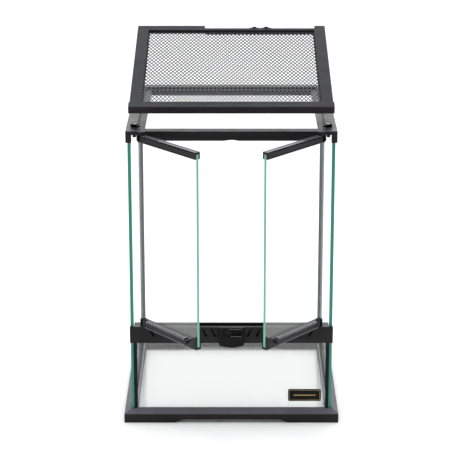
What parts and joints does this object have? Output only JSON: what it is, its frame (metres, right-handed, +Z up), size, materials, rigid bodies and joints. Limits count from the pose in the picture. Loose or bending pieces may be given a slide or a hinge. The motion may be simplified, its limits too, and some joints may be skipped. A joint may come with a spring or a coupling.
{
  "type": "hamster cage",
  "caption": "Tall front-opening glass enclosure with a flared base, two hinged glass doors over a ventilation strip and a lifted diamond-mesh lid.",
  "frame": {"origin": "centre of the base's footprint, on the surface that the enclosure stands on", "axes": "+X to the right across the front, +Y from the front to the back, +Z up"},
  "size_m": [0.322, 0.4241, 0.543],
  "materials": {
    "moulded_plastic": "fine satin grain, black",
    "latch_plastic": "smooth black",
    "tank_glass": "clear float glass, green edges",
    "door_glass": "clear float glass, green edges",
    "silicone": "black silicone",
    "clear_sealant": "clear silicone",
    "steel": "plain turned steel",
    "mesh_wire": "dark coated mesh",
    "gauze_wire": "fine dark gauze",
    "plate_print": "black with a plain gold line"
  },
  "bodies": {
    "tank": {"base_frame": "moulded_plastic", "floor_glass": "tank_glass", "floor_seam": "clear_sealant", "front_glass": "tank_glass", "latch_housing": "moulded_plastic", "left_front_seam": "silicone", "left_lock_screw": "steel", "left_lower_hinge_pin": "steel", "left_rear_seam": "silicone", "left_side_glass": "tank_glass", "left_upper_hinge_pin": "steel", "name_plate": "plate_print", "rear_glass": "tank_glass", "right_front_seam": "silicone", "right_lock_screw": "steel", "right_lower_hinge_pin": "steel", "right_rear_seam": "silicone", "right_side_glass": "tank_glass", "right_upper_hinge_pin": "steel", "top_frame": "moulded_plastic", "vent_gauze": "gauze_wire", "vent_strip": "moulded_plastic"},
    "left_door": {"left_door_glass": "door_glass", "left_door_handle": "moulded_plastic", "left_lower_door_rail": "moulded_plastic", "left_upper_door_rail": "moulded_plastic"},
    "right_door": {"right_door_glass": "door_glass", "right_door_handle": "moulded_plastic", "right_lower_door_rail": "moulded_plastic", "right_upper_door_rail": "moulded_plastic"},
    "lid": {"lid_frame": "moulded_plastic", "lid_mesh": "mesh_wire", "mesh_retainer": "moulded_plastic"},
    "first_gate": {"first_inlet_gate": "moulded_plastic"},
    "second_gate": {"second_inlet_gate": "moulded_plastic"},
    "left_lock": {"left_lid_lock": "latch_plastic"},
    "right_lock": {"right_lid_lock": "latch_plastic"},
    "latch": {"latch_slider": "latch_plastic"}
  },
  "joints": [
    {"name": "left_door_hinge", "type": "hinge", "parent": "tank", "child": "left_door", "pos_m": [-0.13, -0.15, 0.297], "axis": [0, 0, -1], "range_deg": [-50, 60]},
    {"name": "right_door_hinge", "type": "hinge", "parent": "tank", "child": "right_door", "pos_m": [0.13, -0.15, 0.297], "axis": [0, 0, 1], "range_deg": [-50, 60]},
    {"name": "lid_lift", "type": "hinge", "parent": "tank", "child": "lid", "pos_m": [0, -0.21556, 0.5847], "axis": [1, 0, 0], "range_deg": [-12.5, 10]},
    {"name": "first_gate_slide", "type": "slide", "parent": "lid", "child": "first_gate", "axis": [1, 0, 0], "range_m": [-0.07, 0]},
    {"name": "second_gate_slide", "type": "slide", "parent": "lid", "child": "second_gate", "axis": [1, 0, 0], "range_m": [0, 0.068]},
    {"name": "left_lock_turn", "type": "hinge", "parent": "tank", "child": "left_lock", "pos_m": [-0.14, -0.125, 0.452], "axis": [0, 0, 1], "range_deg": [0, 90]},
    {"name": "right_lock_turn", "type": "hinge", "parent": "tank", "child": "right_lock", "pos_m": [0.14, -0.125, 0.452], "axis": [0, 0, -1], "range_deg": [0, 90]},
    {"name": "latch_slide", "type": "slide", "parent": "tank", "child": "latch", "axis": [1, 0, 0], "range_m": [0, 0.0134]}
  ]
}
